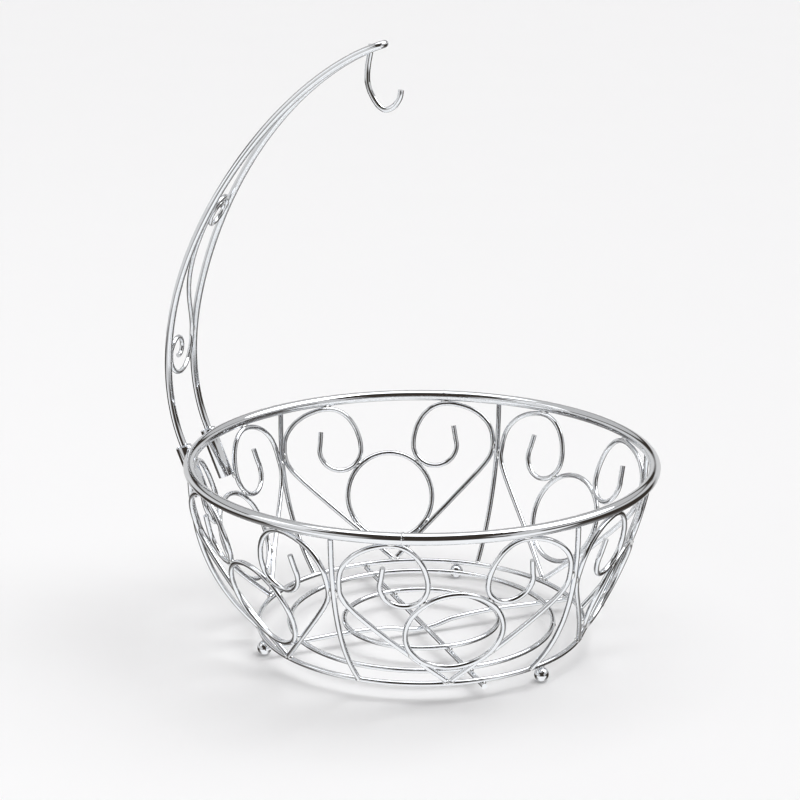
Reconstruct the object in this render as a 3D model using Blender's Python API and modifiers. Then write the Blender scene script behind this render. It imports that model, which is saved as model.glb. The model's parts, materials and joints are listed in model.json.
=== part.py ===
"""Round wire fruit bowl with a lift-out hanger on one side.

The bowl stands on three ball feet. Its wall is six panels, each with two
mirrored scrolls and a ring between them, parted by upright struts. The
hanger is one bent wire whose two legs stand in sockets outside the rim.
+Z is up, the hanger rises on the -X side, and the origin lies at the
bottom centre of everything. All lengths are in metres.
"""
import math

import bmesh
import bpy
import numpy as np
from mathutils import Matrix, Vector

# Seats
SEAT_GAP = 0.0003

# Rim, struts and base ring, at the middle of their wires
RIM_DIAMETER = 0.285
RIM_WIRE = 0.0070
WALL_RISE = 0.1043
STRUT_BASE_LEAN = math.radians(44.6)
STRUT_TOP_LEAN = math.radians(1.1)
BASE_DIAMETER = 0.204
BASE_WIRE = 0.0032

# Wall panels
PANEL_COUNT = 6
WALL_WIRE = 0.0032
CONTACT_SHARE = 0.68

# Turns of the struts round the bowl, which are not quite evenly spaced
STRUT_TOP_TURNS = (
    math.radians(-3.55),
    math.radians(55.8),
    math.radians(116.45),
    math.radians(175.9),
    math.radians(238.35),
    math.radians(296.45),
)
STRUT_BASE_TURNS = (
    math.radians(-3.55),
    math.radians(56.9),
    math.radians(116.45),
    math.radians(175.9),
    math.radians(240.9),
    math.radians(296.45),
)

# Flat scrolls, each leaning out a little past the line from base ring to rim
# and turned a little back towards its strut
SCROLL_EXTRA_LEAN = math.radians(0.6)
SCROLL_TURN_BACK = math.radians(11.0)
SCROLL_BOW = 0.0049
CURL_SWEEP = math.radians(200.0)
TAIL_LEAN = math.radians(42.6)

# Shares of a scroll's reach across
LOOP_OUTER_WIDTH_SHARE = 0.485
LOOP_INNER_WIDTH_SHARE = 0.333
CURL_WIDTH_SHARE = 0.223

# Shares of a scroll's length up the wall
LOOP_OUTER_DROP_SHARE = 0.218
LOOP_INNER_DROP_SHARE = 0.257
CURL_DEPTH_SHARE = 0.134
CURL_END_SHARE = 0.074
TAIL_UPPER_PULL_SHARE = 0.152
TAIL_LOWER_PULL_SHARE = 0.894

# Flat rings between the scrolls, a little outside the line from tails to curls
PANEL_RING_OFFSET = 0.0028
PANEL_RING_STRETCH = 0.0004

# Floor of the bowl, its rings set in from the ring outside them
FLOOR_WIRE = 0.0032
FLOOR_OUTER_INSET = 0.0194
FLOOR_INNER_INSET = 0.0341
CROSS_WIRE = 0.0032
CROSS_OVERHANG = 0.0020
CROSS_UPPER_TURN = math.radians(38.2)
CROSS_LOWER_TURN = math.radians(-49.0)
CROSS_DIP_FLAT = 0.0060
CROSS_DIP_LENGTH = 0.0170

# Feet
FOOT_DIAMETER = 0.0092
FOOT_FLAT_DEPTH = 0.0004
FOOT_TURNS = (
    math.radians(62.0),
    math.radians(184.0),
    math.radians(-53.4),
)

# Sockets outside the rim
SOCKET_DIAMETER = 0.0090
SOCKET_BORE = 0.0056
SOCKET_FLOOR = 0.0015
SOCKET_LENGTH = 0.0330
SOCKET_DROP = 0.0327
SOCKET_EXTRA_LEAN = math.radians(0.2)
SOCKET_SPACING = 0.0394

# Hanger
LEG_WIRE = 0.0046
LEG_STRAIGHT = 0.0340
LEG_LOWER_PULL = 0.0965
LEG_UPPER_PULL = 0.0839
TIP_RISE = 0.2530
TIP_REACH = 0.0237
TIP_LEAN = math.radians(72.1)
NECK_START = 0.1300
NECK_LENGTH = 0.0226

# Hook under the tip
HOOK_WIRE = 0.0035
HOOK_SETBACK = 0.0079
HOOK_TOP_DROP = 0.0005
HOOK_SHAFT_DROP = 0.0205
HOOK_SHAFT_BULGE = 0.0027
HOOK_DEPTH = 0.0385
HOOK_BACK_WIDTH = 0.0111
HOOK_FRONT_WIDTH = 0.0098
HOOK_END_DROP = 0.0265
HOOK_SIDE_PULL = 0.0068
HOOK_FLOOR_PULL = 0.0045

# S-shaped scroll between the legs
SCROLL_WIRE = 0.0029
UPPER_EYE_UP = 0.1845
UPPER_EYE_SHARE = 0.748
UPPER_EYE_END = 0.0062
UPPER_EYE_SWEEP = math.radians(523.0)
LOWER_EYE_UP = 0.0925
LOWER_EYE_END = 0.0042
LOWER_EYE_SWEEP = math.radians(450.0)
STEM_UPPER_PULL = 0.0600
STEM_LOWER_PULL = 0.0250

# How finely curves are drawn
PROFILE_STEPS = 200
STRUT_STEPS = 8
LOOP_STEPS = 5
CURL_STEPS = 9
TAIL_STEPS = 8
PANEL_RING_STEPS = 20
RIM_STEPS = 64
RIM_SIDES = 10
BASE_STEPS = 60
FLOOR_OUTER_STEPS = 48
FLOOR_INNER_STEPS = 32
RING_SIDES = 8
TURNED_STEPS = 16
BALL_STEPS = 6
LEG_CURVE_STEPS = 400
LEG_STEPS = 26
TIP_STEPS = 8
UPPER_EYE_STEPS = 22
LOWER_EYE_STEPS = 20
STEM_STEPS = 8
HOOK_STEPS = 5
SEAT_ROUNDS = 30
SEAT_TURNS = 3
WIRE_BEVEL_STEPS = 2
MERGE_DISTANCE = 0.00005

CHROME = (0.78, 0.79, 0.80, 1.0)
CHROME_ROUGHNESS = 0.08


def smooth_step(share):
    """Ease from 0 to 1."""
    share = min(max(share, 0.0), 1.0)
    return share * share * (3.0 - 2.0 * share)


def stand_height():
    """Height of the base ring's middle above the ground."""
    return BASE_WIRE / 2 + SEAT_GAP + FOOT_DIAMETER - FOOT_FLAT_DEPTH


def strut_radius(share):
    """Strut radius at a share of its height, as a cubic between two leans."""
    base = BASE_DIAMETER / 2
    top = RIM_DIAMETER / 2
    rest = 1 - share
    ends = base + (top - base) * smooth_step(share)
    lower = WALL_RISE * math.tan(STRUT_BASE_LEAN) * share * rest * rest
    upper = WALL_RISE * math.tan(STRUT_TOP_LEAN) * share * share * rest
    return ends + lower - upper


def wall_lean():
    """Lean of the line from the base ring to the rim."""
    return math.atan2((RIM_DIAMETER - BASE_DIAMETER) / 2, WALL_RISE)


def strut_profile():
    """Rows of distance up a strut, radius and height."""
    shares = [step / PROFILE_STEPS for step in range(PROFILE_STEPS + 1)]
    radii = np.array([strut_radius(share) for share in shares])
    heights = np.array([WALL_RISE * share for share in shares])
    steps = np.hypot(np.diff(radii), np.diff(heights))
    ways = np.concatenate([[0.0], np.cumsum(steps)])
    return ways, radii, heights


STRUT_WAYS, STRUT_RADII, STRUT_HEIGHTS = strut_profile()
STRUT_LENGTH = float(STRUT_WAYS[-1])


def ring_point(turn, radius, height):
    """Point around the bowl's axis; turn 0 faces -Y and grows towards +X."""
    return Vector((radius * math.sin(turn), -radius * math.cos(turn), height))


def panel_point(turn, across, out, height):
    """Point seen from a panel's middle: distance across, distance out and height."""
    along = Vector((math.cos(turn), math.sin(turn), 0.0))
    return ring_point(turn, out, height) + along * across


def array_of(points):
    """Points as rows of numbers."""
    return np.array([tuple(point) for point in points])


def point_to_line(points, line):
    """Least distance from any point to a chain of straight pieces."""
    starts = line[:-1]
    spans = line[1:] - starts
    lengths = (spans * spans).sum(axis=1)
    away = points[:, None, :] - starts[None, :, :]
    shares = np.clip((away * spans).sum(axis=2) / lengths, 0.0, 1.0)
    rest = away - spans * shares[:, :, None]
    return float(np.sqrt((rest * rest).sum(axis=2)).min())


def apart(first, second):
    """Least distance between two chains of points."""
    one = array_of(first)
    two = array_of(second)
    return min(point_to_line(one, two), point_to_line(two, one))


def solve(excess, low, high):
    """Value between low and high at which excess falls to nothing."""
    for _ in range(SEAT_ROUNDS):
        middle = (low + high) / 2
        if excess(middle) > 0:
            low = middle
        else:
            high = middle
    return low


def first_contact(excess, value):
    """Value at which excess first falls to nothing, walking up from a smaller one."""
    while excess(value + WALL_WIRE) > 0:
        value += WALL_WIRE
    return solve(excess, value, value + WALL_WIRE)


def arc(centre, width, rise, start, end, steps):
    """Points on part of an ellipse, its first point left out."""
    points = []
    for step in range(1, steps + 1):
        angle = start + (end - start) * step / steps
        points.append((centre[0] + width * math.cos(angle), centre[1] + rise * math.sin(angle)))
    return points


def cubic(start, start_pull, end_pull, end, steps):
    """Points on a cubic between two ends, its first point left out."""
    points = []
    for step in range(1, steps + 1):
        t = step / steps
        weights = ((1 - t) ** 3, 3 * (1 - t) ** 2 * t, 3 * (1 - t) * t ** 2, t ** 3)
        corners = (start, start_pull, end_pull, end)
        across = sum(w * c[0] for w, c in zip(weights, corners))
        way = sum(w * c[1] for w, c in zip(weights, corners))
        points.append((across, way))
    return points


def spiral(middle, start_radius, end_radius, start, sweep, steps):
    """Points on a spiral that tightens evenly, its first point included."""
    points = []
    for step in range(steps + 1):
        share = step / steps
        radius = start_radius * (end_radius / start_radius) ** share
        angle = start + sweep * share
        points.append((middle[0] + radius * math.cos(angle), middle[1] + radius * math.sin(angle)))
    return points


def before_spiral(middle, start_radius, end_radius, start, sweep, distance):
    """Point a distance back from a spiral's start, on its tangent there."""
    tightening = math.log(end_radius / start_radius) / sweep
    across = tightening * math.cos(start) - math.sin(start)
    up = tightening * math.sin(start) + math.cos(start)
    length = math.hypot(across, up)
    corner = (middle[0] + start_radius * math.cos(start), middle[1] + start_radius * math.sin(start))
    return corner[0] - distance * across / length, corner[1] - distance * up / length


# Wall wires

def strut_turn(index, share):
    """Turn of a strut round the bowl, at a share of its length."""
    lap, place = divmod(index, PANEL_COUNT)
    base = STRUT_BASE_TURNS[place]
    top = STRUT_TOP_TURNS[place]
    return base + (top - base) * share + 2 * math.pi * lap


def panel_turn(index):
    """Turn of a panel's middle, where its scrolls touch its struts."""
    return (strut_turn(index, CONTACT_SHARE) + strut_turn(index + 1, CONTACT_SHARE)) / 2


def strut_path(index):
    """Strut from just off the base ring to just under the rim."""
    start = BASE_WIRE / 2 + SEAT_GAP
    end = STRUT_LENGTH - RIM_WIRE / 2 - SEAT_GAP
    points = []
    for step in range(STRUT_STEPS + 1):
        way = start + (end - start) * step / STRUT_STEPS
        radius = float(np.interp(way, STRUT_WAYS, STRUT_RADII))
        height = float(np.interp(way, STRUT_WAYS, STRUT_HEIGHTS))
        points.append(ring_point(strut_turn(index, way / STRUT_LENGTH), radius, height))
    return points


def scroll_flat(edge, top):
    """Flat scroll from its curl's end to its tail, reaching across to edge and up to top."""
    outer_width = LOOP_OUTER_WIDTH_SHARE * edge
    inner_width = LOOP_INNER_WIDTH_SHARE * edge
    outer_drop = LOOP_OUTER_DROP_SHARE * top
    inner_drop = LOOP_INNER_DROP_SHARE * top
    crown = edge - outer_width
    level = top - inner_drop
    turned = curl_points((crown - inner_width, level), CURL_WIDTH_SHARE * edge, CURL_DEPTH_SHARE * top)
    last = turned[-1]
    before = turned[-2]
    run = math.hypot(last[0] - before[0], last[1] - before[1])
    share = CURL_END_SHARE * top / run
    end = (last[0] + (last[0] - before[0]) * share, last[1] + (last[1] - before[1]) * share)
    points = [end] + turned[::-1]
    quarter = math.pi / 2
    points += arc((crown, level), inner_width, inner_drop, math.pi, quarter, LOOP_STEPS)
    points += arc((crown, top - outer_drop), outer_width, outer_drop, quarter, 0.0, LOOP_STEPS)
    points += tail_points(points[-1], top)
    return points


def curl_points(start, half_width, depth):
    """Curl under a loop, from the loop's inner side round towards its end."""
    middle = (start[0] + half_width, start[1])
    end = math.pi + CURL_SWEEP
    return [start] + arc(middle, half_width, depth, math.pi, end, CURL_STEPS)


def tail_points(start, top):
    """Tail from a loop's outer side down to the base ring."""
    foot_across = WALL_WIRE / 2 * math.cos(TAIL_LEAN) + SEAT_GAP / 2
    foot_way = BASE_WIRE / 2 + SEAT_GAP + WALL_WIRE / 2 * math.sin(TAIL_LEAN)
    lower_pull = TAIL_LOWER_PULL_SHARE * top
    start_pull = (start[0], start[1] - TAIL_UPPER_PULL_SHARE * top)
    foot_pull = (
        foot_across + lower_pull * math.sin(TAIL_LEAN),
        foot_way + lower_pull * math.cos(TAIL_LEAN),
    )
    return cubic(start, start_pull, foot_pull, (foot_across, foot_way), TAIL_STEPS)


def scroll_path(turn, side, edge, top):
    """Scroll in its place, on one side of a panel's middle."""
    back = math.sin(SCROLL_TURN_BACK)
    wide = math.cos(SCROLL_TURN_BACK)
    lean = wall_lean() + SCROLL_EXTRA_LEAN
    out = math.sin(lean)
    up = math.cos(lean)
    points = []
    for across, way in scroll_flat(edge, top):
        share = way / top
        bow = 4 * SCROLL_BOW * share * (1 - share)
        depth = way * out + bow * up
        height = way * up - bow * out
        sideways = side * (across * wide + depth * back)
        outwards = BASE_DIAMETER / 2 + depth * wide - across * back
        points.append(panel_point(turn, sideways, outwards, height))
    return points


def rim_path(middle):
    """Rim's middle, to either side of a turn."""
    points = []
    for step in range(-RIM_STEPS, RIM_STEPS + 1):
        turn = middle + math.pi / PANEL_COUNT * step / RIM_STEPS
        points.append(ring_point(turn, RIM_DIAMETER / 2, WALL_RISE))
    return points


def scroll_seat(index, side):
    """How far across and up a scroll reaches to rest on its strut and the rim."""
    middle = panel_turn(index)
    post = index + (side + 1) // 2
    half_panel = abs(strut_turn(post, CONTACT_SHARE) - middle)
    strut = strut_path(post)
    rim = rim_path(middle)
    strut_seat = WALL_WIRE + SEAT_GAP
    rim_seat = RIM_WIRE / 2 + WALL_WIRE / 2 + SEAT_GAP
    widest = half_panel * RIM_DIAMETER / 2
    edge = widest - strut_seat
    top = STRUT_LENGTH - rim_seat

    def to_strut(reach):
        return apart(scroll_path(middle, side, reach, top), strut) - strut_seat

    def to_rim(reach):
        return apart(scroll_path(middle, side, edge, reach), rim) - rim_seat

    for _ in range(SEAT_TURNS):
        edge = solve(to_strut, widest / 2, widest)
        top = solve(to_rim, WALL_RISE / 2, STRUT_LENGTH)
    return edge, top


def panel_ring_plane(scroll):
    """Radius at the foot and lean of the plane in which a panel's ring lies."""
    curl = min(scroll[:CURL_STEPS + 2], key=lambda point: point.z)
    tail = scroll[-2]
    lean = math.atan2(tail.y - curl.y, curl.z - tail.z)
    foot = PANEL_RING_OFFSET - tail.y - tail.z * math.tan(lean)
    return foot, lean


def panel_ring_path(turn, plane, middle, radius):
    """Flat ring between two scrolls, its middle a distance up its plane."""
    tall = radius + PANEL_RING_STRETCH
    foot, lean = plane
    points = []
    for step in range(PANEL_RING_STEPS):
        angle = 2 * math.pi * step / PANEL_RING_STEPS
        way = middle - tall * math.cos(angle)
        outwards = foot + way * math.sin(lean)
        points.append(panel_point(turn, radius * math.sin(angle), outwards, way * math.cos(lean)))
    return points


def panel_ring_seat(edge, top):
    """Plane, middle and radius of the ring that rests on both curls and both tails."""
    seat = WALL_WIRE + SEAT_GAP
    scroll = scroll_path(0.0, 1, edge, top)
    plane = panel_ring_plane(scroll)
    split = 1 + CURL_STEPS + 2 * LOOP_STEPS
    loop = scroll[:split + 1]
    tail = scroll[split:]

    def ring(middle, radius):
        path = panel_ring_path(0.0, plane, middle, radius)
        return path + path[:1]

    def highest(radius):
        low = radius + PANEL_RING_STRETCH
        return solve(lambda middle: apart(ring(middle, radius), loop) - seat, low, STRUT_LENGTH)

    def excess(radius):
        return apart(ring(highest(radius), radius), tail) - seat

    radius = first_contact(excess, CURL_WIDTH_SHARE * edge)
    return plane, highest(radius), radius


# Hanger legs, in the upright plane through the bowl's axis on the -X side

def socket_lean():
    """Lean of the sockets, which follow the wall."""
    return wall_lean() + SOCKET_EXTRA_LEAN


def socket_axis_reach():
    """How far out the socket's axis passes at rim height, to rest on the rim."""
    seat = RIM_WIRE / 2 + SOCKET_DIAMETER / 2 + SEAT_GAP
    half = SOCKET_SPACING / 2
    rim = rim_path(0.0)

    def excess(reach):
        lift = SOCKET_LENGTH * math.cos(socket_lean())
        lean = SOCKET_LENGTH * math.sin(socket_lean())
        low = Vector((half, -reach + lean, WALL_RISE - lift))
        high = Vector((half, -reach - lean, WALL_RISE + lift))
        return seat - apart([low, high], rim)

    return solve(excess, RIM_DIAMETER / 2, RIM_DIAMETER)


AXIS_REACH = socket_axis_reach()


def axis_point(way):
    """Reach and height on a socket's axis, a distance up from the socket's bottom."""
    along = way - SOCKET_DROP
    reach = AXIS_REACH + along * math.sin(socket_lean())
    return reach, WALL_RISE + along * math.cos(socket_lean())


def leg_profile():
    """Rows of distance along a leg from its socket's bottom, reach and height."""
    start = axis_point(LEG_STRAIGHT)
    out = LEG_LOWER_PULL * math.sin(socket_lean())
    up = LEG_LOWER_PULL * math.cos(socket_lean())
    start_pull = (start[0] + out, start[1] + up)
    tip = (TIP_REACH, WALL_RISE + TIP_RISE)
    back = LEG_UPPER_PULL * math.sin(TIP_LEAN)
    down = LEG_UPPER_PULL * math.cos(TIP_LEAN)
    tip_pull = (tip[0] + back, tip[1] - down)
    points = [axis_point(0.0), start]
    points += cubic(start, start_pull, tip_pull, tip, LEG_CURVE_STEPS)
    rows = np.array(points)
    steps = np.hypot(np.diff(rows[:, 0]), np.diff(rows[:, 1]))
    ways = np.concatenate([[0.0], np.cumsum(steps)])
    return ways, rows[:, 0], rows[:, 1]


LEG_WAYS, LEG_REACHES, LEG_HEIGHTS = leg_profile()
LEG_LENGTH = float(LEG_WAYS[-1])


def hanger_point(way, across):
    """Point on the legs' surface; across is positive towards the front leg."""
    reach = float(np.interp(way, LEG_WAYS, LEG_REACHES))
    height = float(np.interp(way, LEG_WAYS, LEG_HEIGHTS))
    return Vector((-reach, -across, height))


def neck_half():
    """Half the legs' spacing at the neck, where the hook stands between them."""
    return LEG_WIRE / 2 + HOOK_WIRE / 2 + SEAT_GAP


def leg_half_spacing(way):
    """Half the legs' spacing a distance up from the sockets' bottoms."""
    neck_end = LEG_LENGTH - NECK_LENGTH
    share = smooth_step((way - NECK_START) / (neck_end - NECK_START))
    wide = SOCKET_SPACING / 2
    return wide + (neck_half() - wide) * share


def hanger_frame_path():
    """Both legs and the turn at the tip, as one wire."""
    foot = SOCKET_FLOOR + SEAT_GAP
    last = LEG_LENGTH - neck_half()
    ways = [foot]
    ways += [LEG_STRAIGHT + (last - LEG_STRAIGHT) * step / LEG_STEPS for step in range(LEG_STEPS + 1)]
    front = [hanger_point(way, leg_half_spacing(way)) for way in ways]
    rear = [hanger_point(way, -leg_half_spacing(way)) for way in reversed(ways)]
    turn = []
    for step in range(1, TIP_STEPS):
        angle = math.pi * step / TIP_STEPS
        way = last + neck_half() * math.sin(angle)
        turn.append(hanger_point(way, neck_half() * math.cos(angle)))
    return front + turn + rear


def upper_eye_shape(across):
    """Upper eye of the hanger's scroll, as a spiral's values."""
    radius = UPPER_EYE_SHARE * leg_half_spacing(UPPER_EYE_UP)
    return (across, UPPER_EYE_UP), radius, UPPER_EYE_END, 0.0, UPPER_EYE_SWEEP


def lower_eye_shape(across, radius):
    """Lower eye of the hanger's scroll, as a spiral's values."""
    return (across, LOWER_EYE_UP), radius, LOWER_EYE_END, math.pi, LOWER_EYE_SWEEP


def on_legs(flat):
    """Flat points of distance across and way up, put on the legs' surface."""
    return [hanger_point(way, across) for across, way in flat]


def hanger_scroll_path():
    """S-shaped scroll: the upper eye rests on the rear leg, the lower on both."""
    seat = LEG_WIRE / 2 + SCROLL_WIRE / 2 + SEAT_GAP
    frame = hanger_frame_path()
    front = frame[:len(frame) // 2 + 1]
    rear = frame[len(frame) // 2:]
    half = SOCKET_SPACING / 2

    def upper_eye(across):
        return spiral(*upper_eye_shape(across), UPPER_EYE_STEPS)

    def lower_eye(across, radius):
        return spiral(*lower_eye_shape(across, radius), LOWER_EYE_STEPS)

    def middle(radius):
        return solve(lambda across: seat - apart(on_legs(lower_eye(across, radius)), rear), -half, half)

    def spare(radius):
        return apart(on_legs(lower_eye(middle(radius), radius)), front) - seat

    upper = solve(lambda across: seat - apart(on_legs(upper_eye(across)), rear), -half, half)
    radius = solve(spare, LOWER_EYE_END, SOCKET_SPACING)
    lower = middle(radius)
    top_pull = before_spiral(*upper_eye_shape(upper), STEM_UPPER_PULL)
    foot_pull = before_spiral(*lower_eye_shape(lower, radius), STEM_LOWER_PULL)
    first = upper_eye(upper)
    last = lower_eye(lower, radius)
    stem = cubic(first[0], top_pull, foot_pull, last[0], STEM_STEPS)
    return on_legs(first[::-1] + stem + last[1:])


def hook_path():
    """Hook hanging from the tip, open towards the bowl's middle."""
    top = (TIP_REACH + HOOK_SETBACK, HOOK_TOP_DROP)
    shoulder = (top[0] + HOOK_SHAFT_BULGE, HOOK_SHAFT_DROP)
    floor = (shoulder[0] - HOOK_BACK_WIDTH, HOOK_DEPTH)
    end = (floor[0] - HOOK_FRONT_WIDTH, HOOK_END_DROP)
    points = [top, shoulder]
    shoulder_pull = (shoulder[0], shoulder[1] + HOOK_SIDE_PULL)
    back_pull = (floor[0] + HOOK_FLOOR_PULL, floor[1])
    points += cubic(shoulder, shoulder_pull, back_pull, floor, HOOK_STEPS)
    front_pull = (floor[0] - HOOK_FLOOR_PULL, floor[1])
    end_pull = (end[0], end[1] + HOOK_SIDE_PULL)
    points += cubic(floor, front_pull, end_pull, end, HOOK_STEPS)
    tip_height = WALL_RISE + TIP_RISE
    return [Vector((-reach, 0.0, tip_height - drop)) for reach, drop in points]


def row_shift():
    """Move that brings the whole to the origin's bottom centre."""
    hanger_side = float(LEG_REACHES.max()) + LEG_WIRE / 2
    rim_side = RIM_DIAMETER / 2 + RIM_WIRE / 2
    return Vector(((hanger_side - rim_side) / 2, 0.0, stand_height()))


# Making objects

def clear_scene():
    """Start with nothing."""
    for item in list(bpy.data.objects):
        bpy.data.objects.remove(item, do_unlink=True)


def chrome(name):
    """Plated steel for one piece."""
    look = bpy.data.materials.new(name)
    look.use_nodes = True
    shader = look.node_tree.nodes["Principled BSDF"]
    shader.inputs["Base Color"].default_value = CHROME
    shader.inputs["Metallic"].default_value = 1.0
    shader.inputs["Roughness"].default_value = CHROME_ROUGHNESS
    look.diffuse_color = CHROME
    return look


def add_object(name, data, shelf, place):
    """One named object with its own material."""
    item = bpy.data.objects.new(name, data)
    item.location = place
    data.materials.append(chrome(name))
    shelf.objects.link(item)
    return item


def add_wire(name, points, thickness, shelf, place, closed=False):
    """Round wire along a chain of points, which are moved by place."""
    curve = bpy.data.curves.new(name, "CURVE")
    curve.dimensions = "3D"
    curve.bevel_depth = thickness / 2
    curve.bevel_resolution = WIRE_BEVEL_STEPS
    curve.use_fill_caps = not closed
    spline = curve.splines.new("POLY")
    spline.points.add(len(points) - 1)
    for slot, point in zip(spline.points, points):
        slot.co = point.to_4d()
    spline.use_cyclic_u = closed
    return add_object(name, curve, shelf, place)


def add_ring(name, diameter, thickness, steps, sides, shelf, place):
    """Flat ring of round wire."""
    bpy.ops.mesh.primitive_torus_add(
        major_radius=diameter / 2,
        minor_radius=thickness / 2,
        major_segments=steps,
        minor_segments=sides,
    )
    item = bpy.context.object
    for holder in list(item.users_collection):
        holder.objects.unlink(item)
    shelf.objects.link(item)
    item.name = name
    item.data.name = name
    item.location = place
    item.data.materials.append(chrome(name))
    item.data.polygons.foreach_set("use_smooth", [True] * len(item.data.polygons))
    return item


def turned_mesh(name, outline):
    """Mesh of an outline of radius and height, before it is turned."""
    mesh = bpy.data.meshes.new(name)
    body = bmesh.new()
    corners = [body.verts.new((radius, 0.0, height)) for radius, height in outline]
    for start, end in zip(corners, corners[1:]):
        body.edges.new((start, end))
    body.to_mesh(mesh)
    body.free()
    return mesh


def add_turned(name, mesh, shelf, matrix):
    """Outline turned round its own axis."""
    item = add_object(name, mesh, shelf, matrix.to_translation())
    item.rotation_euler = matrix.to_euler()
    screw = item.modifiers.new("Turn", "SCREW")
    screw.axis = "Z"
    screw.angle = 2 * math.pi
    screw.steps = TURNED_STEPS
    screw.render_steps = TURNED_STEPS
    screw.use_merge_vertices = True
    screw.merge_threshold = MERGE_DISTANCE
    screw.use_smooth_shade = True
    return item


def foot_outline():
    """Ball cut flat underneath, from its top down."""
    radius = FOOT_DIAMETER / 2
    cut = math.acos((radius - FOOT_FLAT_DEPTH) / radius)
    points = [(0.0, radius)]
    for step in range(1, BALL_STEPS + 1):
        angle = (math.pi - cut) * step / BALL_STEPS
        points.append((radius * math.sin(angle), radius * math.cos(angle)))
    points.append((0.0, points[-1][1]))
    return points


def socket_outline():
    """Cup from its inner floor, up the bore, over the mouth and down the outside."""
    bore = SOCKET_BORE / 2
    outside = SOCKET_DIAMETER / 2
    return [
        (0.0, SOCKET_FLOOR),
        (bore, SOCKET_FLOOR),
        (bore, SOCKET_LENGTH),
        (outside, SOCKET_LENGTH),
        (outside, 0.0),
        (0.0, 0.0),
    ]


# The bowl's pieces

def add_rings(shelf, shift):
    """Rim, base ring and the two floor rings."""
    rim_place = shift + Vector((0.0, 0.0, WALL_RISE))
    add_ring("rim_ring", RIM_DIAMETER, RIM_WIRE, RIM_STEPS, RIM_SIDES, shelf, rim_place)
    add_ring("base_ring", BASE_DIAMETER, BASE_WIRE, BASE_STEPS, RING_SIDES, shelf, shift)
    outer = BASE_DIAMETER - 2 * FLOOR_OUTER_INSET
    add_ring("floor_ring_outer", outer, FLOOR_WIRE, FLOOR_OUTER_STEPS, RING_SIDES, shelf, shift)
    inner = outer - 2 * FLOOR_INNER_INSET
    add_ring("floor_ring_inner", inner, FLOOR_WIRE, FLOOR_INNER_STEPS, RING_SIDES, shelf, shift)


def add_wall(shelf, shift):
    """Struts, scrolls and panel rings."""
    for index in range(PANEL_COUNT):
        number = index + 1
        turn = panel_turn(index)
        edge, top = np.minimum(scroll_seat(index, -1), scroll_seat(index, 1))
        ring_seat = panel_ring_seat(edge, top)
        add_wire(f"strut_{number}", strut_path(index), WALL_WIRE, shelf, shift)
        left = scroll_path(turn, -1, edge, top)
        add_wire(f"scroll_left_{number}", left, WALL_WIRE, shelf, shift)
        right = scroll_path(turn, 1, edge, top)
        add_wire(f"scroll_right_{number}", right, WALL_WIRE, shelf, shift)
        ring = panel_ring_path(turn, *ring_seat)
        add_wire(f"panel_ring_{number}", ring, WALL_WIRE, shelf, shift, closed=True)


def add_cross_wires(shelf, shift):
    """Two wires under the floor rings; the lower one dips under the upper."""
    thick = max(BASE_WIRE, FLOOR_WIRE)
    level = -(thick / 2 + CROSS_WIRE / 2 + SEAT_GAP)
    reach = BASE_DIAMETER / 2 + CROSS_OVERHANG
    ends = [ring_point(CROSS_UPPER_TURN, side * reach, level) for side in (-1, 1)]
    add_wire("cross_wire_upper", ends, CROSS_WIRE, shelf, shift)
    dipped = level - CROSS_WIRE - SEAT_GAP
    shoulder = CROSS_DIP_FLAT + CROSS_DIP_LENGTH
    stations = [
        (-reach, level),
        (-shoulder, level),
        (-CROSS_DIP_FLAT, dipped),
        (CROSS_DIP_FLAT, dipped),
        (shoulder, level),
        (reach, level),
    ]
    points = [ring_point(CROSS_LOWER_TURN, out, height) for out, height in stations]
    add_wire("cross_wire_lower", points, CROSS_WIRE, shelf, shift)


def add_feet(shelf, shift):
    """Three balls under the base ring."""
    drop = BASE_WIRE / 2 + SEAT_GAP + FOOT_DIAMETER / 2
    for number, turn in enumerate(FOOT_TURNS, start=1):
        mesh = turned_mesh(f"foot_{number}", foot_outline())
        place = shift + ring_point(turn, BASE_DIAMETER / 2, -drop)
        add_turned(f"foot_{number}", mesh, shelf, Matrix.Translation(place))


def add_sockets(shelf, shift):
    """Two cups outside the rim, leaning outwards."""
    reach, height = axis_point(0.0)
    lean = Matrix.Rotation(-socket_lean(), 4, "Y")
    for name, side in (("socket_front", -1), ("socket_rear", 1)):
        mesh = turned_mesh(name, socket_outline())
        place = shift + Vector((-reach, side * SOCKET_SPACING / 2, height))
        add_turned(name, mesh, shelf, Matrix.Translation(place) @ lean)


def add_hanger(shelf, shift):
    """Bent leg wire, its scroll and its hook, with their origin on the way out."""
    reach, height = axis_point(0.0)
    origin = Vector((-reach, 0.0, height))
    pieces = (
        ("hanger_frame", hanger_frame_path(), LEG_WIRE),
        ("hanger_scroll", hanger_scroll_path(), SCROLL_WIRE),
        ("hanger_hook", hook_path(), HOOK_WIRE),
    )
    for name, path, thickness in pieces:
        local = [point - origin for point in path]
        add_wire(name, local, thickness, shelf, shift + origin)


def main():
    """Build every piece."""
    clear_scene()
    shelf = bpy.data.collections.new("fruit_bowl_with_hanger")
    bpy.context.scene.collection.children.link(shelf)
    shift = row_shift()
    add_rings(shelf, shift)
    add_wall(shelf, shift)
    add_cross_wires(shelf, shift)
    add_feet(shelf, shift)
    add_sockets(shelf, shift)
    add_hanger(shelf, shift)


main()
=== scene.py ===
"""Polished wire fruit bowl with a lift-out hanger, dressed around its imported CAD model.

Each wire, ring, socket and foot of the CAD model is made again with fine round
sections, and the weld beads that join them are added. All lengths are in metres.
"""

import json
import math

import bmesh
import bpy
import numpy as np
from mathutils import Matrix, Vector


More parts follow.
